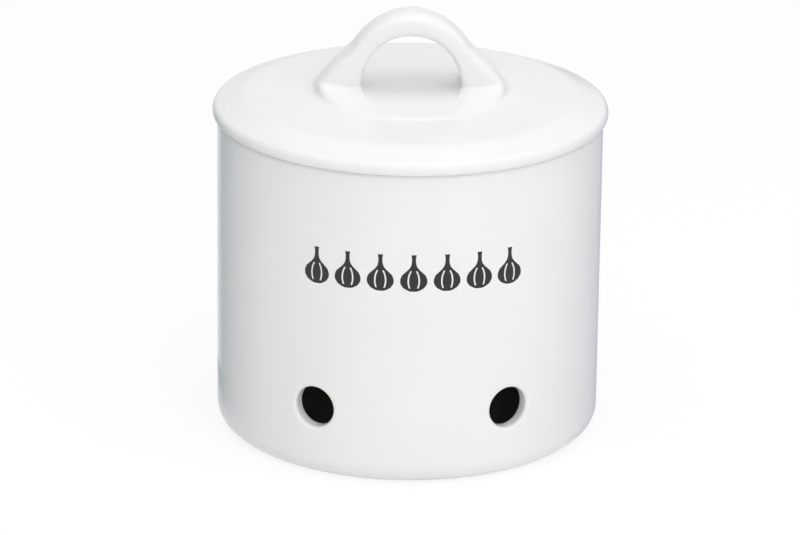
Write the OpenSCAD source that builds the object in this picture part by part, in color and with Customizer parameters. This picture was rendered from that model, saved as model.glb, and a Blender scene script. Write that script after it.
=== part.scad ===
// Garlic keeper: a round glazed jar with vent holes near its base, a lift-off
// lid that drops over the rim, and an arched handle joined to the lid.
// Millimetres, +Z up. The jar stands on z = 0 around the Z axis and its front
// faces -Y. The handle runs from left to right, along X.

/* [Jar] */
// Outside diameter of the jar's straight wall
jar_d = 125; // [110:1:140]
// Height of the jar's rim, which carries the lid
jar_h = 104.4; // [85:0.5:130]
// Thickness of the wall
wall_t = 4.5; // [3.5:0.1:5.5]
// Thickness of the floor above the recess under the jar
floor_t = 5; // [4:0.25:7]
// Radius of the rounding between the wall and the foot, outside
base_round = 7.2; // [4:0.2:9]
// Height at the wall of the slant that runs in to the foot
base_slant = 1.6; // [1:0.1:3]
// Radius of the corner between the wall and the floor, inside
inside_round = 8; // [4:0.5:10]
// Radius of the rim's outer edge
rim_outer_round = 1.4; // [0.8:0.1:1.5]
// Radius of the rim's inner edge
rim_inner_round = 1; // [0.6:0.1:1.2]

/* [Foot] */
// How far the foot ring stands in from the wall
foot_inset = 4.9; // [3.5:0.1:7]
// Width of the flat ring that the jar stands on
foot_w = 6; // [4:0.5:10]
// Depth of the recess inside the foot ring
foot_recess = 1.5; // [0.8:0.1:2.5]
// Radius of the foot ring's two edges
foot_round = 0.4; // [0.2:0.1:0.5]

/* [Vent holes] */
// Bore of each vent hole
vent_d = 13.4; // [9:0.2:16]
// Height of the vents' centres
vent_z = 23.6; // [20:0.2:40]
// Angle from the front to each vent of a pair
vent_turn = 30; // [15:1:40]
// Radius of the glaze-rounded edge of each vent
vent_edge = 1; // [0.6:0.1:1.4]
// How far a vent's rounding starts off the wall it cuts
vent_lead = 0.15; // [0.1:0.05:0.3]

/* [Lid] */
// How far the lid's edge stands out past the jar's wall
lid_overhang = 1.55; // [1:0.05:4]
// Height of the lid's upright edge
lid_edge_h = 3.9; // [3.4:0.1:5]
// Radius of the lid's edge where its top falls to it
lid_edge_round = 2.6; // [2:0.1:3.6]
// Radius of the lid's lower edge, just above the rim
lid_lower_round = 1.7; // [0.8:0.1:1.8]
// Width of the shoulder above the lid's edge
shoulder_w = 9.8; // [7:0.1:12]
// Height of the shoulder above the lid's edge
shoulder_h = 3.4; // [2:0.1:4]
// Radius where the shoulder runs into the lid's top
shoulder_round = 12; // [6:0.5:16]
// Rise of the lid's top from the shoulder to the boss
dome_rise = 1.1; // [0.6:0.1:3]
// Thickness of the lid's top
lid_t = 5; // [4:0.25:7]
// Depth of the ring under the lid that drops inside the rim
skirt_h = 7; // [5:0.5:14]
// Thickness of that ring
skirt_t = 4; // [3:0.25:6]
// Gap between that ring and the jar's inner wall
skirt_gap = 1; // [0.5:0.1:2]
// Radius of that ring's lower edges
skirt_round = 1.2; // [0.6:0.1:1.4]
// Radius of the corner between that ring and the lid's underside
ceiling_round = 4; // [2:0.5:6]

/* [Handle] */
// Distance across the handle's two feet
foot_span = 63.8; // [58:0.2:72]
// Height of the handle's crown above the boss it stands on
crown_h = 26.2; // [24:0.2:34]
// Width of the oval that the crown follows
crown_w = 46.2; // [43:0.2:52]
// Width of the finger opening
opening_w = 32.4; // [28:0.2:34]
// Height of the finger opening
opening_h = 18; // [15:0.2:19]
// Depth of the grip, front to back
grip_depth = 13.4; // [10:0.2:18]
// Depth of each foot, front to back
foot_depth = 52; // [30:1:56]
// Angle from the upright at which the flanks start to flare outwards
flare_turn = 51; // [46:1:60]
// Angle from the upright at which the feet start to widen front to back
widen_turn = 83.5; // [70:0.5:86]
// Height of the low round boss that carries the handle
boss_h = 0.75; // [0.4:0.05:3]
// Margin of the boss around the handle's feet
boss_margin = 0.5; // [0.4:0.1:2]

/* [Hidden] */
$fn = 180;

glaze_white = [0.95, 0.95, 0.94];
arc_step = 9;        // degrees of turn for each straight step of a rounded corner
jar_r = jar_d / 2;
bore_r = jar_r - wall_t;
foot_r = jar_r - foot_inset;
floor_z = foot_recess + floor_t;
vent_r = vent_d / 2;
vent_reach = 4;      // how far a vent's cutter runs past each face of the wall
lid_r = jar_r + lid_overhang;
skirt_r = bore_r - skirt_gap;
shoulder_r = lid_r - shoulder_w;
shoulder_z = jar_h + lid_edge_h + shoulder_h;
boss_r = foot_span / 2 + boss_margin;
boss_z = shoulder_z + dome_rise + boss_h;

// Handle stations and points round each section
stations = 40;
ring_points = 32;
quarter_ring = ring_points / 4;
crown_power = 1.92;  // 2 is an ellipse, and less draws the crown to a gentle peak
opening_power = 2.15; // 2 is an ellipse, and more squares the finger opening
section_power = 3;   // the same for the handle's own section at the crown
leg_power = 5;       // and low on the legs, which are flatter straps
flare_power = 1.45;  // how gently the flanks begin to flare
widen_power = 1.4;   // how late the feet widen front to back

// ---- outlines with rounded corners -------------------------------------
// A corner is [radius from the axis, height, rounding].

function unit(v) = v / norm(v);
function turn_at(a, b, c) =
    acos(max(-1, min(1, unit([b[0] - a[0], b[1] - a[1]]) * unit([c[0] - b[0], c[1] - b[1]]))));
function corner(list, i) = list[(i + len(list)) % len(list)];
function side(list, i) =
    norm([corner(list, i + 1)[0] - list[i][0], corner(list, i + 1)[1] - list[i][1]]);

// Length of each side that a corner's rounding would like to use
function wanted(list, i) =
    list[i][2] * tan(turn_at(corner(list, i - 1), list[i], corner(list, i + 1)) / 2);

// The same, limited so that two roundings never overrun the side between them
function used(list, i) =
    let (
        before = (i + len(list) - 1) % len(list),
        after = (i + 1) % len(list),
        own = wanted(list, i),
        room_before = side(list, before) / max(side(list, before), wanted(list, before) + own),
        room_after = side(list, i) / max(side(list, i), own + wanted(list, after))
    )
    own * min(room_before, room_after);

// Points of one corner: the corner itself, or an arc of equal steps
function corner_points(list, i) =
    let (
        p = [list[i][0], list[i][1]],
        to_before = unit([corner(list, i - 1)[0], corner(list, i - 1)[1]] - p),
        to_after = unit([corner(list, i + 1)[0], corner(list, i + 1)[1]] - p),
        bend = turn_at(corner(list, i - 1), list[i], corner(list, i + 1)),
        cut = used(list, i)
    )
    cut <= 0 || bend < 1 ? [p] :
    let (
        radius = cut / tan(bend / 2),
        middle = unit(to_before + to_after),
        centre = p + middle * radius / cos(bend / 2),
        steps = ceil(bend / arc_step),
        first = p + to_before * cut - centre,
        way = first[0] * (p - centre)[1] - first[1] * (p - centre)[0] > 0 ? 1 : -1
    )
    [
        for (k = [0 : steps])
            let (t = way * bend * k / steps)
            centre + [first[0] * cos(t) - first[1] * sin(t), first[0] * sin(t) + first[1] * cos(t)]
    ];

module rounded(list) {
    polygon([for (i = [0 : len(list) - 1]) each corner_points(list, i)]);
}

// ---- jar ---------------------------------------------------------------

module jar_section() {
    rounded([
        [0, foot_recess, 0],
        [foot_r - foot_w, foot_recess, foot_round],
        [foot_r - foot_w, 0, foot_round],
        [foot_r, 0, foot_round],
        [jar_r, base_slant, base_round],
        [jar_r, jar_h, rim_outer_round],
        [bore_r, jar_h, rim_inner_round],
        [bore_r, floor_z, inside_round],
        [0, floor_z, 0]
    ]);
}

// Cutter of one vent, along +Z from the jar's axis, rounding both its mouths
module vent_cutter() {
    inner = bore_r - vent_lead;
    outer = jar_r + vent_lead;
    mouth_r = vent_r + 2 * vent_edge;
    rotate_extrude()
        rounded([
            [0, inner - vent_reach, 0],
            [mouth_r, inner - vent_reach, 0],
            [mouth_r, inner, 0],
            [vent_r, inner, vent_edge],
            [vent_r, outer, vent_edge],
            [mouth_r, outer, 0],
            [mouth_r, outer + vent_reach, 0],
            [0, outer + vent_reach, 0]
        ]);
}

module jar() {
    color(glaze_white)
    difference() {
        rotate_extrude() jar_section();
        // a pair at the front and a pair at the back
        for (face = [0, 180], sign = [-1, 1])
            translate([0, 0, vent_z])
                rotate([0, 0, face + sign * vent_turn])
                    rotate([90, 0, 0])
                        vent_cutter();
    }
}

// ---- lid ---------------------------------------------------------------

module lid_section() {
    ceiling_z = boss_z - boss_h - lid_t;
    rounded([
        [0, ceiling_z, 0],
        [skirt_r - skirt_t, ceiling_z - dome_rise, ceiling_round],
        [skirt_r - skirt_t, jar_h - skirt_h, skirt_round],
        [skirt_r, jar_h - skirt_h, skirt_round],
        [skirt_r, jar_h, rim_inner_round],
        [lid_r, jar_h, lid_lower_round],
        [lid_r, jar_h + lid_edge_h, lid_edge_round],
        [shoulder_r, shoulder_z, shoulder_round],
        [boss_r, shoulder_z + dome_rise, boss_h / 2],
        [boss_r, boss_z, boss_h / 2],
        [0, boss_z, 0]
    ]);
}

module lid() {
    color(glaze_white)
    rotate_extrude() lid_section();
}

// ---- handle ------------------------------------------------------------
// Sections fan out round the front-to-back line through the middle of the
// boss. An angle of 0 is the crown, and -90 and 90 are the two feet.

function oval(up, across, power, a) =
    pow(pow(cos(a) / up, power) + pow(abs(sin(a)) / across, power), -1 / power);

// Share of the way from angle a0 to the foot
function past(a, a0) = max(0, (abs(a) - a0) / (90 - a0));

function outer_reach(a) =
    oval(crown_h, crown_w / 2, crown_power, a)
    + (foot_span - crown_w) / 2 * pow(past(a, flare_turn), flare_power);
function inner_reach(a) = oval(opening_h, opening_w / 2, opening_power, a);
function half_depth(a) =
    grip_depth / 2 + (foot_depth - grip_depth) / 2 * pow(past(a, widen_turn), widen_power);

// Signed power, which turns a circle's sine or cosine into a squarer section's
function squared(v, a) =
    let (
        flatter = pow(sin(a), 2) * (1 - past(a, widen_turn)),
        power = section_power + (leg_power - section_power) * flatter
    )
    sign(v) * pow(abs(v), 2 / power);

// The feet bend in towards the front and back, to follow the round boss
function handle_point(a, t) =
    let (
        y = half_depth(a) * squared(sin(t), a),
        middle = (outer_reach(a) + inner_reach(a)) / 2,
        half = (outer_reach(a) - inner_reach(a)) / 2,
        follow = y * y / foot_span * past(a, flare_turn),
        reach = middle + half * squared(cos(t), a) - follow
    )
    [reach * sin(a), y, boss_z + reach * cos(a)];

module handle() {
    // stations lie closer together near the feet, where the shape changes fastest
    points = [
        for (i = [0 : stations], j = [0 : ring_points - 1])
            handle_point(90 * sin(90 * (2 * i / stations - 1)), 360 * j / ring_points)
    ];
    function at(i, j) = i * ring_points + (j + ring_points) % ring_points;
    sides = [
        for (i = [0 : stations - 1], j = [0 : ring_points - 1])
            each [
                [at(i, j), at(i, j + 1), at(i + 1, j + 1)],
                [at(i, j), at(i + 1, j + 1), at(i + 1, j)]
            ]
    ];
    // each foot is a strip of quads between its outer and inner edge
    half_ring = ring_points / 2;
    foot_a = [
        for (j = [-quarter_ring : quarter_ring - 1])
            [at(0, j + 1), at(0, j), at(0, half_ring - j), at(0, half_ring - j - 1)]
    ];
    foot_b = [
        for (j = [-quarter_ring : quarter_ring - 1])
            [
                at(stations, j),
                at(stations, j + 1),
                at(stations, half_ring - j - 1),
                at(stations, half_ring - j)
            ]
    ];
    color(glaze_white)
    polyhedron(points = points, faces = concat(sides, foot_a, foot_b));
}

jar();
lid();
handle();
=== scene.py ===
"""Garlic keeper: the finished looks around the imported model. Metres, +Z up, front towards -Y."""

import math

import bmesh
import bpy
import numpy as np
from mathutils import Matrix, Vector


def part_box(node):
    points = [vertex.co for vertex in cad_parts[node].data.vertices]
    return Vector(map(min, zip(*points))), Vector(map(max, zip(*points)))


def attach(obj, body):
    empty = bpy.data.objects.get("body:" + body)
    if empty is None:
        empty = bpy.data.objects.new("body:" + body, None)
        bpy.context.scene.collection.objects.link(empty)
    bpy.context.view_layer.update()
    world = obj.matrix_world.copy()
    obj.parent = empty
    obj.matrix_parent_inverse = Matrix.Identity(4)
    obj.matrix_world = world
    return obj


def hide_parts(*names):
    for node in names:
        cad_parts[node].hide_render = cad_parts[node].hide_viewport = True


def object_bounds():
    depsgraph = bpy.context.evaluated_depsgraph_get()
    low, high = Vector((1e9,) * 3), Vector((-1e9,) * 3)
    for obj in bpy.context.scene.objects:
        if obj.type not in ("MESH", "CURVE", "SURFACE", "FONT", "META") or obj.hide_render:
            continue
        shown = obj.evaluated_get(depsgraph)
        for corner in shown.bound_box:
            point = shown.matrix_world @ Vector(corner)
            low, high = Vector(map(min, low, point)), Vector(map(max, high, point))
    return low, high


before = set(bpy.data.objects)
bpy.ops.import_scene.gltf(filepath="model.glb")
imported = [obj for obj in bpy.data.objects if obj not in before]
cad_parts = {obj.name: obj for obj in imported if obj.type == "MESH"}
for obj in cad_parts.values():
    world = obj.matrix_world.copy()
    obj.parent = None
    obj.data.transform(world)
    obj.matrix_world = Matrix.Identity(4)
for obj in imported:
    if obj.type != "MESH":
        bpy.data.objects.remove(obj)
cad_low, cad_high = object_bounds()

MM = 0.001

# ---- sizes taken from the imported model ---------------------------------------
jar_low, jar_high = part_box("jar")
lid_low, lid_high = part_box("lid")
handle_low, handle_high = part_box("handle")

JAR_R = jar_high.x
JAR_H = jar_high.z
LID_R = lid_high.x
BOSS_Z = lid_high.z
SKIRT_LOW = lid_low.z
FOOT_REACH = handle_high.x
FOOT_HALF = handle_high.y
CROWN_H = handle_high.z - BOSS_Z

# ---- sizes that the boxes don't give -----------------------------------------
WALL_T = 4.5 * MM
BORE_R = JAR_R - WALL_T
BASE_ROUND = 7.2 * MM
BASE_SLANT = 1.6 * MM     # height of the corner from which that rounding is cut
INSIDE_ROUND = 8 * MM
RIM_OUTER_ROUND = 1.4 * MM
RIM_INNER_ROUND = 1 * MM
FOOT_INSET = 4.9 * MM
FOOT_R = JAR_R - FOOT_INSET
FOOT_W = 6 * MM
FOOT_RECESS = 1.5 * MM
FOOT_ROUND = 0.4 * MM
FLOOR_T = 5 * MM
FLOOR_Z = FOOT_RECESS + FLOOR_T

VENT_R = 6.7 * MM
VENT_Z = 23.6 * MM
VENT_TURN = 30            # degrees from the front and from the back
VENT_OUTER_ROUND = 1.3 * MM     # the glaze leaves this mouth rounder than it was cut
VENT_INNER_ROUND = 0.8 * MM     # and the bare one behind it sharper
VENT_PATCH = 9 * MM       # half height of the patch of wall that holds a vent

LID_LOWER_ROUND = 1.7 * MM
LID_EDGE_H = 3.9 * MM
LID_EDGE_ROUND = 2.6 * MM
LID_T = 5 * MM
SHOULDER_W = 9.8 * MM
SHOULDER_R = LID_R - SHOULDER_W
SHOULDER_DROP = 1.85 * MM # below the top of the boss
SHOULDER_Z = BOSS_Z - SHOULDER_DROP
SHOULDER_ROUND = 12 * MM
BOSS_MARGIN = 0.4 * MM
BOSS_R = FOOT_REACH + BOSS_MARGIN
BOSS_H = 0.75 * MM
BOSS_BLEND = 0.9 * MM     # how far the soft step of the boss runs to each side
BOSS_ROUND = 2.5 * MM
SKIRT_GAP = 1 * MM
SKIRT_R = BORE_R - SKIRT_GAP
SKIRT_T = 4 * MM
SKIRT_ROUND = 1.2 * MM
CEILING_Z = BOSS_Z - BOSS_H - LID_T
CEILING_DROP = 1.1 * MM   # how much lower the ceiling lies beside the ring
CEILING_ROUND = 4 * MM

CROWN_HALF = 23.1 * MM
OPENING_HALF = 16.2 * MM
OPENING_H = 18 * MM
GRIP_HALF = 6.7 * MM
FLARE_TURN = math.radians(51)     # below this turn from the crown the legs flare outwards
WIDEN_TURN = math.radians(83.5)   # and below this one the feet widen to the front and back
CROWN_POWER = 1.92        # 2 makes an oval, and more makes it squarer
OPENING_POWER = 2.15
SECTION_POWER = 3         # the same for the handle's own section at the crown
LEG_POWER = 5             # and low on the legs
FLARE_POWER = 1.45        # 1 flares evenly, and more flares later
WIDEN_POWER = 1.4

# ---- how finely the surfaces are made ----------------------------------------
JAR_COLUMNS = 288         # a whole number of them fits between two vents
JAR_COLUMN = 2 * math.pi / JAR_COLUMNS
VENT_CELLS = 8            # grid cells from a vent's centre to its patch's edge
PATCH_RINGS = 4           # rings from there to the rounding of a vent's mouth
MOUTH_RINGS = 10          # steps of that rounding
HANDLE_STATIONS = 144
STATION_POWER = 1.5       # 1 turns evenly from station to station, and more is closer near the feet
HANDLE_RING = 128
BRIDGE = 24               # columns across the boss, between the tips of the handle's feet
LID_COLUMNS = HANDLE_RING + 2 * BRIDGE
SOFT_ROWS = 11            # rows over which the joint of handle and lid is softened
SOFT_ROUNDS = 60
SOFT_SHARE = 0.5          # share of the way to its neighbours that a point moves in a round
APRON_RINGS = 12          # rings between a foot of the handle and the open lid
APRON_R = 37 * MM         # radius at which those rings meet the lid's own rings
ARC_STEP = math.radians(6)
WALL_STEP = 3 * MM
EDGE_STEP = 0.3 * MM      # first row beside a rounding, which keeps the flat beside it flat
SLACK = 0.01 * MM
MERGE = 0.0001 * MM       # points closer than this become one


# ---- mesh helpers ------------------------------------------------------------

def placed(name, data):
    made = bpy.data.objects.new(name, data)
    bpy.context.scene.collection.objects.link(made)
    return made


class Sheet:
    """Collects points and faces. Points made twice at one place are merged when the mesh is made."""

    def __init__(self):
        self.points = []
        self.faces = []

    def ring(self, points):
        first = len(self.points)
        self.points.extend(points)
        return list(range(first, first + len(points)))

    def strip(self, a, b, closed=True):
        for k in range(len(a) if closed else len(a) - 1):
            n = (k + 1) % len(a)
            self.faces.append((a[k], a[n], b[n], b[k]))

    def fan(self, ring, centre):
        hub = self.ring([centre])[0]
        for k in range(len(ring)):
            self.faces.append((ring[k], ring[(k + 1) % len(ring)], hub))

    def build(self, name):
        mesh = bpy.data.meshes.new(name)
        mesh.from_pydata([tuple(p) for p in self.points], [], self.faces)
        work = bmesh.new()
        work.from_mesh(mesh)
        bmesh.ops.remove_doubles(work, verts=work.verts, dist=MERGE)
        bmesh.ops.recalc_face_normals(work, faces=work.faces)
        for face in work.faces:
            face.smooth = True
        work.to_mesh(mesh)
        work.free()
        return placed(name, mesh)


def rounded(corners):
    """Outline through corners of (radius, height, rounding), each rounding an arc of equal steps."""
    outline = []
    for i, (r, z, rounding) in enumerate(corners):
        here = Vector((r, z))
        if rounding == 0:
            outline.append(here)
            continue
        before = Vector(corners[i - 1][:2]) - here
        after = Vector(corners[i + 1][:2]) - here
        bend = math.pi - before.angle(after)
        half = math.tan(bend / 2)
        room = [
            side.length / (1 + corners[k][2] / rounding * bend_tan(corners, k) / half)
            for side, k in ((before, i - 1), (after, i + 1))
        ]
        cut = min([rounding * half] + room)
        radius = cut / half
        inwards = (before.normalized() + after.normalized()).normalized()
        centre = here + inwards * radius / math.cos(bend / 2)
        first = here + before.normalized() * cut - centre
        last = here + after.normalized() * cut - centre
        way = 1 if first.x * last.y - first.y * last.x > 0 else -1
        steps = math.ceil(bend / ARC_STEP)
        for k in range(steps + 1):
            outline.append(centre + Matrix.Rotation(way * bend * k / steps, 2) @ first)
    return outline


def bend_tan(corners, i):
    """Tangent of half the turn at a corner, or 0 for an end or a sharp corner."""
    if i <= 0 or i >= len(corners) - 1 or corners[i][2] == 0:
        return 0
    before = Vector(corners[i - 1][:2]) - Vector(corners[i][:2])
    after = Vector(corners[i + 1][:2]) - Vector(corners[i][:2])
    return math.tan((math.pi - before.angle(after)) / 2)


def graded(a, b):
    """Points from a up to but without b: a close row at each end and even rows between."""
    length = (b - a).length
    if length < 4 * EDGE_STEP:
        return [a]
    inner = length - 2 * EDGE_STEP
    count = max(1, math.ceil(inner / WALL_STEP))
    places = [0] + [EDGE_STEP + inner * k / count for k in range(count + 1)]
    return [a.lerp(b, p / length) for p in places]


def filled(outline, stops=()):
    """The outline with rows added on its straight runs. An upright run also gets the heights in stops."""
    rows = []
    for a, b in zip(outline, outline[1:]):
        inside = [z for z in stops if min(a.y, b.y) < z < max(a.y, b.y)]
        if a.x == b.x and inside:
            inside.sort(reverse=a.y > b.y)
            first = Vector((a.x, inside[0]))
            last = Vector((a.x, inside[-1]))
            rows += graded(a, first)
            rows += [Vector((a.x, z)) for z in inside[:-1]]
            rows += graded(last, b)
        else:
            rows += graded(a, b)
    rows.append(outline[-1])
    return rows


def round_ring(r, z, columns):
    turns = [2 * math.pi * k / columns for k in range(columns)]
    return [(r * math.cos(t), r * math.sin(t), z) for t in turns]


def smoothstep(x):
    x = min(1, max(0, x))
    return x * x * (3 - 2 * x)


# ---- jar ---------------------------------------------------------------------

def vent_patch_rows():
    return [VENT_Z + VENT_PATCH * k / VENT_CELLS for k in range(-VENT_CELLS, VENT_CELLS + 1)]


def square_walk(n):
    """Grid places round the edge of a square of 2n cells, from its right middle, turning left."""
    places = [(n, k) for k in range(0, n)]
    places += [(k, n) for k in range(n, -n, -1)]
    places += [(-n, k) for k in range(n, -n, -1)]
    places += [(k, -n) for k in range(-n, n)]
    places += [(n, k) for k in range(-n, 0)]
    return places


def add_vent(sheet, azimuth):
    """Rings from the patch's edge on the outer wall, through the bore, to the edge on the inner wall."""
    out = Vector((math.cos(azimuth), math.sin(azimuth), 0))
    across = Vector((-math.sin(azimuth), math.cos(azimuth), 0))
    walk = square_walk(VENT_CELLS)
    turns = [2 * math.pi * k / len(walk) for k in range(len(walk))]

    def place(u, v, depth):
        return tuple(out * depth + across * u + Vector((0, 0, VENT_Z + v)))

    def wall_rings(wall_r, edge, sign):
        """Rings on one face of the wall: its patch, then the mouth's rounding by edge. sign is 1
        where the vent leads outwards from that face, and -1 where it leads inwards."""
        rings = []
        mouth = VENT_R + edge
        for k in range(PATCH_RINGS):
            share = k / PATCH_RINGS
            ring = []
            for (i, j), t in zip(walk, turns):
                u = wall_r * math.sin(i * JAR_COLUMN) * (1 - share) + mouth * math.cos(t) * share
                v = VENT_PATCH * j / VENT_CELLS * (1 - share) + mouth * math.sin(t) * share
                ring.append(place(u, v, math.sqrt(wall_r * wall_r - u * u)))
            rings.append(ring)
        for k in range(MOUTH_RINGS + 1):
            s = math.pi / 2 * k / MOUTH_RINGS
            rho = VENT_R + edge * (1 - math.sin(s))
            sink = sign * edge * (1 - math.cos(s))
            ring = []
            for t in turns:
                u, v = rho * math.cos(t), rho * math.sin(t)
                ring.append(place(u, v, math.sqrt(wall_r * wall_r - u * u) + sink))
            rings.append(ring)
        return rings

    outside = wall_rings(JAR_R, VENT_OUTER_ROUND, -1)
    inside = wall_rings(BORE_R, VENT_INNER_ROUND, 1)
    made = [sheet.ring(ring) for ring in outside + inside[::-1]]
    for a, b in zip(made, made[1:]):
        sheet.strip(a, b)


def make_jar():
    outline = rounded([
        (0, FOOT_RECESS, 0),
        (FOOT_R - FOOT_W, FOOT_RECESS, FOOT_ROUND),
        (FOOT_R - FOOT_W, 0, FOOT_ROUND),
        (FOOT_R, 0, FOOT_ROUND),
        (JAR_R, BASE_SLANT, BASE_ROUND),
        (JAR_R, JAR_H, RIM_OUTER_ROUND),
        (BORE_R, JAR_H, RIM_INNER_ROUND),
        (BORE_R, FLOOR_Z, INSIDE_ROUND),
        (0, FLOOR_Z, 0),
    ])
    rows = filled(outline, vent_patch_rows())
    sheet = Sheet()
    rings = [sheet.ring(round_ring(p.x, p.y, JAR_COLUMNS)) for p in rows[1:-1]]

    # columns of wall left out for the vents, and the heights between which they are
    azimuths = [math.radians(side * 90 + turn * VENT_TURN) for side in (-1, 1) for turn in (-1, 1)]
    left_out = set()
    for azimuth in azimuths:
        middle = round(azimuth / JAR_COLUMN)
        left_out.update((middle + k) % JAR_COLUMNS for k in range(-VENT_CELLS, VENT_CELLS))
    low, high = VENT_Z - VENT_PATCH, VENT_Z + VENT_PATCH
    for (a, b), (p, q) in zip(zip(rings, rings[1:]), zip(rows[1:-1], rows[2:-1])):
        upright = p.x == q.x and p.x > BORE_R - SLACK
        by_vent = upright and low - SLACK < min(p.y, q.y) and max(p.y, q.y) < high + SLACK
        for k in range(JAR_COLUMNS):
            if by_vent and k in left_out:
                continue
            n = (k + 1) % JAR_COLUMNS
            sheet.faces.append((a[k], a[n], b[n], b[k]))
    sheet.fan(rings[0], (0, 0, FOOT_RECESS))
    sheet.fan(rings[-1], (0, 0, FLOOR_Z))
    for azimuth in azimuths:
        add_vent(sheet, azimuth)
    return sheet.build("jar_glazed")


# ---- lid and handle ----------------------------------------------------------

LID_OUTLINE = rounded([
    (0, BOSS_Z, 0),
    (BOSS_R - BOSS_BLEND, BOSS_Z, BOSS_ROUND),
    (BOSS_R + BOSS_BLEND, BOSS_Z - BOSS_H, BOSS_ROUND),
    (SHOULDER_R, SHOULDER_Z, SHOULDER_ROUND),
    (LID_R, JAR_H + LID_EDGE_H, LID_EDGE_ROUND),
    (LID_R, JAR_H, LID_LOWER_ROUND),
    (SKIRT_R, JAR_H, RIM_INNER_ROUND),
    (SKIRT_R, SKIRT_LOW, SKIRT_ROUND),
    (SKIRT_R - SKIRT_T, SKIRT_LOW, SKIRT_ROUND),
    (SKIRT_R - SKIRT_T, CEILING_Z - CEILING_DROP, CEILING_ROUND),
    (0, CEILING_Z, 0),
])


def top_z(r):
    """Height of the lid's top at a distance from the axis, out to the shoulder."""
    top = [p for p in LID_OUTLINE if p.y > SHOULDER_Z]
    return float(np.interp(r, [p.x for p in top], [p.y for p in top]))


def oval(up, across, power, a):
    """Distance from the centre of an oval's base to its line, at a turn from its top."""
    return ((math.cos(a) / up) ** power + (abs(math.sin(a)) / across) ** power) ** (-1 / power)


def past(a, start):
    """Share of the way from a turn to the foot."""
    return max(0, (abs(a) - start) / (math.pi / 2 - start))


def squared(v, a):
    """Signed power, which turns a circle's sine or cosine into a squarer section's."""
    flatter = math.sin(a) ** 2 * (1 - past(a, WIDEN_TURN))
    power = SECTION_POWER + (LEG_POWER - SECTION_POWER) * flatter
    return math.copysign(abs(v) ** (2 / power), v)


def handle_point(a, t):
    """A point of the arch. a turns from the crown to a foot, and t goes round the section."""
    outer = oval(CROWN_H, CROWN_HALF, CROWN_POWER, a)
    outer += (FOOT_REACH - CROWN_HALF) * past(a, FLARE_TURN) ** FLARE_POWER
    inner = oval(OPENING_H, OPENING_HALF, OPENING_POWER, a)
    depth = GRIP_HALF + (FOOT_HALF - GRIP_HALF) * past(a, WIDEN_TURN) ** WIDEN_POWER
    y = depth * squared(math.sin(t), a)
    follow = y * y / (2 * FOOT_REACH) * past(a, FLARE_TURN)     # bends the feet with the round boss
    reach = (outer + inner) / 2 + (outer - inner) / 2 * squared(math.cos(t), a) - follow
    return (reach * math.sin(a), y, BOSS_Z + reach * math.cos(a))


def blend_four(right, left, front, back, u, v):
    """A point inside four edges: u goes from the right edge to the left one, v from front to back."""
    rows = len(right) - 1
    columns = len(front) - 1
    r, l = Vector(right[round(v * rows)]), Vector(left[round(v * rows)])
    f, b = Vector(front[round(u * columns)]), Vector(back[round(u * columns)])
    near = Vector(right[0]).lerp(Vector(left[0]), u)
    far = Vector(right[-1]).lerp(Vector(left[-1]), u)
    return tuple(r.lerp(l, u) + f.lerp(b, v) - near.lerp(far, v))


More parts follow.
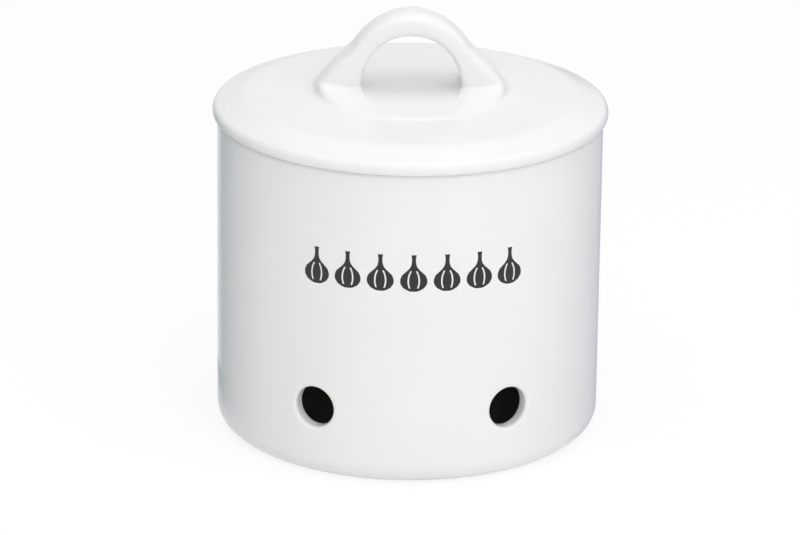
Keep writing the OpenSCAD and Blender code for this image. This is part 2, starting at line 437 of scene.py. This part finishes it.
def make_lid():
    sheet = Sheet()
    weights = []   # how freely each point moves when the joints are softened

    def add(points, weight):
        """Adds a ring of points, with one weight for all of them or a list of weights."""
        weights.extend(weight if isinstance(weight, list) else [weight] * len(points))
        return sheet.ring(points)

    def spots(indices):
        return [sheet.points[k] for k in indices]

    def ease(rows_away):
        """Weight of a point that lies some rows away from the joint."""
        return smoothstep(1 - rows_away / SOFT_ROWS)

    # the arch, from the left foot to the right one
    stations = []
    for i in range(HANDLE_STATIONS + 1):
        along = 2 * i / HANDLE_STATIONS - 1
        a = math.copysign(math.pi / 2 * (1 - (1 - abs(along)) ** STATION_POWER), along)
        ring = [handle_point(a, 2 * math.pi * j / HANDLE_RING) for j in range(HANDLE_RING)]
        stations.append(add(ring, ease(min(i, HANDLE_STATIONS - i))))
    for a, b in zip(stations, stations[1:]):
        sheet.strip(a, b)
    left, right = stations[0], stations[-1]

    # arcs on the boss that join the tips of the feet, behind and in front
    quarter = HANDLE_RING // 4
    tip = Vector(sheet.points[right[quarter]])
    tip_r, tip_turn = math.hypot(tip.x, tip.y), math.atan2(tip.y, tip.x)
    turns = [tip_turn + (math.pi - 2 * tip_turn) * k / BRIDGE for k in range(1, BRIDGE)]
    near_tip = [min(k, BRIDGE - k) for k in range(1, BRIDGE)]
    eased = [ease(k) for k in near_tip]
    behind = add([(tip_r * math.cos(t), tip_r * math.sin(t), BOSS_Z) for t in turns], eased)
    ahead = add([(tip_r * math.cos(t), -tip_r * math.sin(t), BOSS_Z) for t in turns], eased)

    # the top of the boss between the two feet
    right_in = [right[3 * quarter - k] for k in range(2 * quarter + 1)]
    left_in = [left[3 * quarter - k] for k in range(2 * quarter + 1)]
    front = [right_in[0]] + ahead + [left_in[0]]
    back = [right_in[-1]] + behind + [left_in[-1]]
    before = front
    edges = [spots(edge) for edge in (right_in, left_in, front, back)]
    for k in range(1, 2 * quarter):
        inside = [blend_four(*edges, c / BRIDGE, k / (2 * quarter)) for c in range(1, BRIDGE)]
        after = [right_in[k]] + add(inside, eased) + [left_in[k]]
        sheet.strip(before, after, closed=False)
        before = after
    sheet.strip(before, back, closed=False)

    # rings from the feet and those arcs outwards, over the soft step of the boss
    loop = right[:quarter + 1] + behind + left[quarter::-1] + left[:3 * quarter - 1:-1]
    loop += ahead[::-1] + right[3 * quarter:]
    inner = spots(loop)
    outer = round_ring(APRON_R, 0, LID_COLUMNS)
    from_foot = [0] * (quarter + 1) + near_tip + [0] * (2 * quarter + 1) + near_tip + [0] * quarter
    before = loop
    for k in range(1, APRON_RINGS + 1):
        ring = []
        for (px, py, _), (qx, qy, _) in zip(inner, outer):
            x, y = px + (qx - px) * k / APRON_RINGS, py + (qy - py) * k / APRON_RINGS
            ring.append((x, y, top_z(math.hypot(x, y))))
        last = k == APRON_RINGS
        after = add(ring, 0 if last else [ease(k + extra) for extra in from_foot])
        sheet.strip(before, after)
        before = after

    # the open lid, its edge, the ring under it and its underside
    start = next(k for k, p in enumerate(LID_OUTLINE) if p.x > APRON_R)
    rows = filled([Vector((APRON_R, top_z(APRON_R)))] + LID_OUTLINE[start:])
    rings = [add(round_ring(p.x, p.y, LID_COLUMNS), 0) for p in rows[:-1]]
    for a, b in zip(rings, rings[1:]):
        sheet.strip(a, b)
    weights.append(0)
    sheet.fan(rings[-1], (0, 0, rows[-1].y))
    soften(sheet, np.array(weights, float), SOFT_ROUNDS)
    return sheet.build("lid_glazed")


def soften(sheet, weights, rounds):
    """Relaxes points towards their neighbours by their weight, as glaze rounds off a joint."""
    points = np.array(sheet.points, float)
    grid = np.round(points / MERGE)
    _, first, same = np.unique(grid, axis=0, return_index=True, return_inverse=True)
    same = same.ravel()
    edges = set()
    for face in sheet.faces:
        for a, b in zip(face, face[1:] + face[:1]):
            a, b = int(same[a]), int(same[b])
            if a != b:
                edges.add((min(a, b), max(a, b)))
    edges = np.array(sorted(edges))
    spot = points[first]
    free = np.zeros(len(spot))
    np.maximum.at(free, same, weights)
    count = np.bincount(edges.ravel(), minlength=len(spot))
    for _ in range(rounds):
        total = np.zeros_like(spot)
        np.add.at(total, edges[:, 0], spot[edges[:, 1]])
        np.add.at(total, edges[:, 1], spot[edges[:, 0]])
        spot += (total / count[:, None] - spot) * free[:, None] * SOFT_SHARE
    sheet.points = [tuple(p) for p in spot[same]]


# ---- materials ---------------------------------------------------------------

class Paint:
    """The node tree of a material or world, with short calls that add a node and return its output."""

    def __init__(self, owner):
        owner.use_nodes = True
        self.tree = owner.node_tree
        self.tree.nodes.clear()

    def node(self, kind, inputs=None, **settings):
        made = self.tree.nodes.new(kind)
        for key, value in settings.items():
            setattr(made, key, value)
        for key, value in (inputs or {}).items():
            if isinstance(value, bpy.types.NodeSocket):
                self.tree.links.new(value, made.inputs[key])
            else:
                made.inputs[key].default_value = value
        return made

    def math(self, operation, a, b=0.0, c=0.0, clamp=False):
        made = self.node("ShaderNodeMath", {0: a, 1: b, 2: c}, operation=operation, use_clamp=clamp)
        return made.outputs[0]

    def ramp(self, value, low, high, to_low=0.0, to_high=1.0):
        """value from low to high becomes a smooth change from to_low to to_high."""
        inputs = {"Value": value, "From Min": low, "From Max": high, "To Min": to_low, "To Max": to_high}
        return self.node("ShaderNodeMapRange", inputs, interpolation_type="SMOOTHSTEP").outputs["Result"]

    def mix(self, share, a, b):
        made = self.node("ShaderNodeMix", data_type="RGBA")
        for socket, value in ((made.inputs["Factor"], share), (made.inputs[6], a), (made.inputs[7], b)):
            if isinstance(value, bpy.types.NodeSocket):
                self.tree.links.new(value, socket)
            else:
                socket.default_value = value
        return made.outputs[2]

    def noise(self, place, size, detail=2.0):
        inputs = {"Vector": place, "Scale": 1 / size, "Detail": detail, "Roughness": 0.5}
        return self.node("ShaderNodeTexNoise", inputs).outputs["Fac"]


GLAZE = (0.865, 0.868, 0.862, 1)
GLAZE_COOL = (0.845, 0.852, 0.856, 1)
GLAZE_IOR = 1.5
GLAZE_ROUGH = (0.09, 0.15)
SPECK = (0.42, 0.38, 0.32, 1)
SPECK_SHARE = 0.35
# bare clay; where it lines the inside of the jar, its darker tone is also painted shade
CLAY = (0.38, 0.355, 0.32, 1)
CLAY_DARK = (0.29, 0.268, 0.24, 1)
CLAY_ROUGH = 0.85
INK = (0.012, 0.012, 0.013, 1)
INK_ROUGHER = 0.12

# sizes of the noise, and depths of the relief made from it
CLOUD = 34 * MM
SPECKLE = 1.1 * MM
SHEEN = 9 * MM
WOBBLE = 7 * MM
GRAIN = 0.5 * MM
GRAIN_DEPTH = 0.06 * MM
WAVE = 16 * MM
WAVE_DEPTH = 0.12 * MM
PULL = 2.2 * MM
PULL_DEPTH = 0.02 * MM

MOTIF_LOW = 66 * MM
MOTIF_H = 12.2 * MM
MOTIF_HALF = 4.3 * MM
MOTIF_STEP = 10.6 * MM
MOTIF_COUNT = 7
MOTIF_SOFT = 0.05 * MM    # half width of the print's soft edge
# half width of a bulb of garlic from its root to the tip of its neck, as shares of its size
MOTIF_OUTLINE = (
    (0, 0.2), (0.05, 0.56), (0.14, 0.86), (0.27, 1), (0.4, 0.92), (0.52, 0.64),
    (0.62, 0.36), (0.72, 0.2), (0.86, 0.15), (1, 0.2),
)
CLOVE_PLACE = 0.4         # share of the bulb's half width at which a pale line lies
CLOVE_HALF = 0.24 * MM
CLOVE_LOW = 0.09          # shares of the bulb's height between which the lines run
CLOVE_HIGH = 0.56

GLAZED_RIM = (8 * MM, 8.5 * MM)         # depth below the rim at which glaze gives way to clay
GLAZED_BORE = (0.15 * MM, 0.45 * MM)    # the same for a vent, from the inner wall outwards
CLAY_START = (1 * MM, 2 * MM)           # height above the recess where the inside counts as clay
FOOT_WIPE = (0.15 * MM, 0.3 * MM)       # height to which the foot ring is wiped free of glaze
JAR_WOBBLE = 1.6 * MM                   # how far the edge of the glaze wanders
RING_INNER_WIPE = (1.2 * MM, 1.6 * MM)  # how far the clay comes out through the lid's ring
RING_LOW_WIPE = (0.9 * MM, 1.3 * MM)    # and up it
CEILING_WIPE = (0.5 * MM, 1 * MM)
LID_WOBBLE = 1 * MM


def motif_share(paint, split):
    """1 where the row of little bulbs is printed on the front, 0 elsewhere."""
    turn = paint.math("ARCTAN2", split.outputs["X"], paint.math("MULTIPLY", split.outputs["Y"], -1.0))
    along = paint.math("MULTIPLY", turn, JAR_R)
    middle = paint.math("SNAP", paint.math("ADD", along, MOTIF_STEP / 2), MOTIF_STEP)
    beside = paint.math("ABSOLUTE", paint.math("SUBTRACT", along, middle))
    height = paint.math("DIVIDE", paint.math("SUBTRACT", split.outputs["Z"], MOTIF_LOW), MOTIF_H)
    curve = paint.node("ShaderNodeFloatCurve", {"Value": height})
    line = curve.mapping.curves[0]
    for place, width in MOTIF_OUTLINE[1:-1]:
        line.points.new(place, width)
    for point, (place, width) in zip(line.points, MOTIF_OUTLINE):
        point.location = (place, width)
    curve.mapping.update()
    half = paint.math("MULTIPLY", curve.outputs[0], MOTIF_HALF)

    def within(value, limit):
        room = paint.math("SUBTRACT", limit, value)
        return paint.math("ADD", paint.math("DIVIDE", room, 2 * MOTIF_SOFT), 0.5, clamp=True)

    body = within(beside, half)
    upright = paint.math("ABSOLUTE", paint.math("SUBTRACT", height, 0.5))
    body = paint.math("MULTIPLY", body, within(paint.math("MULTIPLY", upright, MOTIF_H), MOTIF_H / 2))
    row = within(paint.math("ABSOLUTE", along), MOTIF_STEP * MOTIF_COUNT / 2)
    body = paint.math("MULTIPLY", body, row)
    # two pale lines part the bulb into cloves, from near the root to the neck
    clove = paint.math("SUBTRACT", beside, paint.math("MULTIPLY", half, CLOVE_PLACE))
    clove = within(paint.math("ABSOLUTE", clove), CLOVE_HALF)
    clove = paint.math("MULTIPLY", clove, paint.math("LESS_THAN", height, CLOVE_HIGH))
    clove = paint.math("MULTIPLY", clove, paint.math("GREATER_THAN", height, CLOVE_LOW))
    return paint.math("MULTIPLY", body, paint.math("SUBTRACT", 1.0, clove))


def glazed(name, bare, printed=False):
    """White glaze over clay. bare(paint, radius, z, wobble) gives where the clay shows."""
    material = bpy.data.materials.new(name)
    paint = Paint(material)
    place = paint.node("ShaderNodeTexCoord").outputs["Object"]
    split = paint.node("ShaderNodeSeparateXYZ", {0: place})
    squares = [paint.math("POWER", paint.math("ABSOLUTE", split.outputs[k]), 2.0) for k in "XY"]
    radius = paint.math("SQRT", paint.math("ADD", *squares))

    # colour: broad, hardly seen clouds of thicker and thinner glaze, and a few iron specks
    colour = paint.mix(paint.ramp(paint.noise(place, CLOUD, 3), 0.35, 0.7), GLAZE, GLAZE_COOL)
    specks = paint.ramp(paint.noise(place, SPECKLE, 1), 0.79, 0.84, 0, SPECK_SHARE)
    colour = paint.mix(specks, colour, SPECK)
    rough = paint.ramp(paint.noise(place, SHEEN, 3), 0.3, 0.7, *GLAZE_ROUGH)
    if printed:
        ink = motif_share(paint, split)
        colour = paint.mix(ink, colour, INK)
        rough = paint.math("ADD", rough, paint.math("MULTIPLY", ink, INK_ROUGHER))

    # bare clay, whose darker tone inside the jar is also painted shade
    clay = bare(paint, radius, split.outputs["Z"], paint.noise(place, WOBBLE, 2))
    grain = paint.noise(place, GRAIN, 4)
    colour = paint.mix(clay, colour, paint.mix(paint.ramp(grain, 0.35, 0.65), CLAY_DARK, CLAY))
    rough = paint.math("MAXIMUM", rough, paint.math("MULTIPLY", clay, CLAY_ROUGH))

    # relief: slow waves of the poured wall, a fine pull of the glaze, and the clay's grain
    waves = paint.node("ShaderNodeBump", {
        "Strength": 0.5, "Distance": WAVE_DEPTH, "Height": paint.noise(place, WAVE, 1),
    })
    pull = paint.node("ShaderNodeBump", {
        "Strength": 0.35, "Distance": PULL_DEPTH, "Height": paint.noise(place, PULL, 2),
        "Normal": waves.outputs[0],
    })
    tooth = paint.node("ShaderNodeBump", {
        "Strength": paint.math("MULTIPLY", clay, 0.6), "Distance": GRAIN_DEPTH, "Height": grain,
        "Normal": pull.outputs[0],
    })
    shader = paint.node("ShaderNodeBsdfPrincipled", {
        "Base Color": colour, "Roughness": rough, "IOR": GLAZE_IOR, "Normal": tooth.outputs[0],
    })
    paint.node("ShaderNodeOutputMaterial", {"Surface": shader.outputs[0]})
    return material


def wandering(paint, value, wobble, width):
    """The value, moved to and fro by the wobble, so that an edge drawn from it isn't straight."""
    edge = paint.math("MULTIPLY", paint.math("SUBTRACT", wobble, 0.5), width)
    return paint.math("ADD", value, edge)


def bare_in_jar(paint, radius, z, wobble):
    """Clay shows inside, below the glazed rim and behind the vents, and on the foot ring. Inside the jar
    the clay's darker tone is partly painted shade, which deepens the dark of the closed jar.
    """
    rim_low, rim_high = (JAR_H - depth for depth in GLAZED_RIM[::-1])
    below_rim = paint.ramp(wandering(paint, z, wobble, JAR_WOBBLE), rim_low, rim_high, 1, 0)
    inside = paint.ramp(radius, BORE_R + GLAZED_BORE[0], BORE_R + GLAZED_BORE[1], 1, 0)
    inside = paint.math("MULTIPLY", inside, below_rim)
    above_recess = paint.ramp(z, FOOT_RECESS + CLAY_START[0], FOOT_RECESS + CLAY_START[1])
    inside = paint.math("MULTIPLY", inside, above_recess)
    return paint.math("MAXIMUM", inside, paint.ramp(z, *FOOT_WIPE, 1, 0))


def bare_in_lid(paint, radius, z, wobble):
    """Clay shows under the lid, inside the ring and on the ring's lower edge."""
    reach, low = (wandering(paint, value, wobble, LID_WOBBLE) for value in (radius, z))
    bore = SKIRT_R - SKIRT_T
    inside = paint.ramp(reach, bore + RING_INNER_WIPE[0], bore + RING_INNER_WIPE[1], 1, 0)
    under = paint.ramp(z, CEILING_Z + CEILING_WIPE[0], CEILING_Z + CEILING_WIPE[1], 1, 0)
    edge = paint.ramp(low, SKIRT_LOW + RING_LOW_WIPE[0], SKIRT_LOW + RING_LOW_WIPE[1], 1, 0)
    return paint.math("MAXIMUM", paint.math("MULTIPLY", inside, under), edge)


# ---- stage -------------------------------------------------------------------

WHITE = (1, 1, 1, 1)

FLOOR_HALF = 6.0
FLOOR_GLOW = 0.84         # share of the floor's white that the object's shadow can't darken
FLOOR_COLOUR = 0.90
WORLD_COLOUR = (0.945, 0.965, 1, 1)
WORLD_LEVEL = 0.287

CARD_R = 85 * MM
CARD_INNER_R = 61 * MM
CARD_LOW = 1 * MM
CARD_HIGH = 500 * MM
CARD_START = -55          # degrees from the right, turning by way of the back
CARD_END = 235
CARD_COLUMNS = 48
CARD_LEFT = (0.07, 0.17, 0.20, 1)
CARD_LEFT_FRONT = (0.42, 0.42, 0.60, 1)
CARD_BACK = (0.80, 0.80, 0.84, 1)
CARD_RIGHT = (0.46, 0.44, 0.56, 1)

# where one tone of the card gives way to the next, from the left to the right
LEFT_TO_BACK = (-84 * MM, -74 * MM)
LEFT_TO_BACK_LOW = (-80 * MM, -62 * MM)   # the same on the part that lies on the floor
BACK_TO_RIGHT = (45 * MM, 62 * MM)
# the same from the front to the back, and from the floor up
WHITE_TO_CARD = (-60 * MM, -15 * MM)
LEFT_FRONT_TO_LEFT = (-30 * MM, 12 * MM)
LOW_TO_UPRIGHT = (1 * MM, 3 * MM)
UPRIGHT_TO_HIGH = (JAR_H, JAR_H + 15 * MM)

WARM = (1, 0.983, 0.955)
LAMPS = (                 # name, degrees to the right, degrees up, distance, sides, power, colour
    ("top", 0, 85, 1.6, (2.4, 2.4), 27, (1, 0.993, 0.975)),
    ("front", 10, 35, 1.8, (1.4, 1.4), 3.1, WARM),
    ("low_front", 10, 12, 1.8, (1.4, 0.7), 6.9, WARM),
    ("right", 52, 40, 1.8, (1.2, 1.2), 2.9, (1, 1, 1)),
)


def seen_share(paint):
    """1 for what the camera, a mirror or glass sees directly, 0 for what lights the object."""
    path = paint.node("ShaderNodeLightPath")
    share = paint.math("MAXIMUM", path.outputs["Is Camera Ray"], path.outputs["Is Glossy Ray"])
    return paint.math("MAXIMUM", share, path.outputs["Is Transmission Ray"])


def make_floor():
    mesh = bpy.data.meshes.new("floor")
    corners = [(x * FLOOR_HALF, y * FLOOR_HALF, 0) for x, y in ((-1, -1), (1, -1), (1, 1), (-1, 1))]
    mesh.from_pydata(corners, [], [(0, 1, 2, 3)])
    floor = placed("floor", mesh)
    material = bpy.data.materials.new("floor_white")
    paint = Paint(material)
    seen = seen_share(paint)
    glow = paint.node("ShaderNodeEmission", {"Color": WHITE, "Strength": FLOOR_GLOW})
    matte_part = paint.node("ShaderNodeBsdfDiffuse", {"Color": (1 - FLOOR_GLOW,) * 3 + (1,)})
    shown = paint.node("ShaderNodeAddShader", {0: glow.outputs[0], 1: matte_part.outputs[0]})
    matte = paint.node("ShaderNodeBsdfDiffuse", {"Color": (FLOOR_COLOUR,) * 3 + (1,)})
    both = paint.node("ShaderNodeMixShader", {0: seen, 1: matte.outputs[0], 2: shown.outputs[0]})
    paint.node("ShaderNodeOutputMaterial", {"Surface": both.outputs[0]})
    mesh.materials.append(material)


def make_cards():
    """A curved card round the back and along the floor, seen only in the glaze, so that the glaze
    mirrors a greyer room at its edges."""
    points, faces = [], []
    for k in range(CARD_COLUMNS + 1):
        turn = math.radians(CARD_START + (CARD_END - CARD_START) * k / CARD_COLUMNS)
        x, y = math.cos(turn), math.sin(turn)
        for r, z in ((CARD_INNER_R, CARD_LOW), (CARD_R, CARD_LOW), (CARD_R, CARD_HIGH)):
            points.append((r * x, r * y, z))
    for k in range(CARD_COLUMNS):
        a, b = 3 * k, 3 * (k + 1)
        faces += [(a, b, b + 1, a + 1), (a + 1, b + 1, b + 2, a + 2)]
    mesh = bpy.data.meshes.new("cards")
    mesh.from_pydata(points, [], faces)
    cards = placed("cards", mesh)
    material = bpy.data.materials.new("card_grey")
    paint = Paint(material)
    place = paint.node("ShaderNodeTexCoord").outputs["Object"]
    split = paint.node("ShaderNodeSeparateXYZ", {0: place})
    across, deep, height = (split.outputs[k] for k in "XYZ")
    left = paint.mix(paint.ramp(deep, *LEFT_FRONT_TO_LEFT), CARD_LEFT_FRONT, CARD_LEFT)
    left_end, back_start = (
        paint.ramp(height, *LOW_TO_UPRIGHT, low, upright)
        for low, upright in zip(LEFT_TO_BACK_LOW, LEFT_TO_BACK)
    )
    colour = paint.mix(paint.ramp(across, left_end, back_start), left, CARD_BACK)
    colour = paint.mix(paint.ramp(across, *BACK_TO_RIGHT), colour, CARD_RIGHT)
    colour = paint.mix(paint.ramp(height, *UPRIGHT_TO_HIGH), colour, CARD_BACK)
    colour = paint.mix(paint.ramp(deep, *WHITE_TO_CARD), WHITE, colour)
    card = paint.node("ShaderNodeEmission", {"Color": colour, "Strength": 1.0})
    paint.node("ShaderNodeOutputMaterial", {"Surface": card.outputs[0]})
    mesh.materials.append(material)
    cards.visible_camera = False
    cards.visible_diffuse = False
    cards.visible_shadow = False


def make_world():
    """White where it is seen, and a dimmer, cooler light on the object."""
    world = bpy.data.worlds.new("studio")
    bpy.context.scene.world = world
    paint = Paint(world)
    seen = seen_share(paint)
    colour = paint.mix(seen, WORLD_COLOUR, WHITE)
    level = paint.ramp(seen, 0.0, 1.0, WORLD_LEVEL, 1.0)
    background = paint.node("ShaderNodeBackground", {"Color": colour, "Strength": level})
    paint.node("ShaderNodeOutputWorld", {"Surface": background.outputs[0]})


def make_lamp(name, azimuth, elevation, distance, size, power, colour):
    """A soft lamp aimed at the object and not mirrored in it. azimuth turns it from the front to the
    right."""
    data = bpy.data.lights.new(name, "AREA")
    data.shape = "RECTANGLE"
    data.size, data.size_y = size
    data.energy = power
    data.color = colour
    lamp = placed(name, data)
    side, height = math.radians(azimuth), math.radians(elevation)
    away = Vector((math.sin(side) * math.cos(height), -math.cos(side) * math.cos(height), math.sin(height)))
    lamp.location = Vector((0, 0, (cad_low.z + cad_high.z) / 2)) + away * distance
    lamp.rotation_euler = away.to_track_quat("Z", "Y").to_euler()
    lamp.visible_camera = False
    lamp.visible_glossy = False


# ---- camera ------------------------------------------------------------------

CAMERA_DISTANCE = 1.60496
CAMERA_DOWN = math.radians(19.888)
CAMERA_ROLL = 0.0121
CAMERA_TURN = math.radians(-1.5)     # the jar stands turned a little to the camera
CAMERA_TARGET = Vector((-2.741 * MM, 0, 51.463 * MM))
SENSOR_W = 36.0
PICTURE_W = 800
FOCAL_PIXELS = 4901.87
CLIP = (0.05, 50)


def make_camera():
    back = Vector((0, -math.cos(CAMERA_DOWN), math.sin(CAMERA_DOWN)))
    right = Vector((1, 0, 0))
    up = back.cross(right)
    axis_x = right * math.cos(CAMERA_ROLL) + up * math.sin(CAMERA_ROLL)
    axis_y = up * math.cos(CAMERA_ROLL) - right * math.sin(CAMERA_ROLL)
    facing = Matrix((axis_x, axis_y, back)).transposed().to_4x4()
    place = Matrix.Translation(CAMERA_TARGET + back * CAMERA_DISTANCE)
    data = bpy.data.cameras.new("camera")
    data.sensor_fit = "HORIZONTAL"
    data.sensor_width = SENSOR_W
    data.lens = FOCAL_PIXELS / PICTURE_W * SENSOR_W
    data.clip_start, data.clip_end = CLIP
    camera = placed("camera", data)
    camera.matrix_world = Matrix.Rotation(CAMERA_TURN, 4, "Z") @ place @ facing
    bpy.context.scene.camera = camera


# ---- the whole scene ---------------------------------------------------------

make_camera()

jar = make_jar()
jar.data.materials.append(glazed("white_glaze_jar", bare_in_jar, printed=True))
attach(jar, "jar")
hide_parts("jar")

lid = make_lid()
lid.data.materials.append(glazed("white_glaze_lid", bare_in_lid))
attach(lid, "lid")
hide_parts("lid", "handle")

make_floor()
make_world()
make_cards()
for lamp in LAMPS:
    make_lamp(*lamp)

bpy.context.scene.view_settings.view_transform = "Standard"
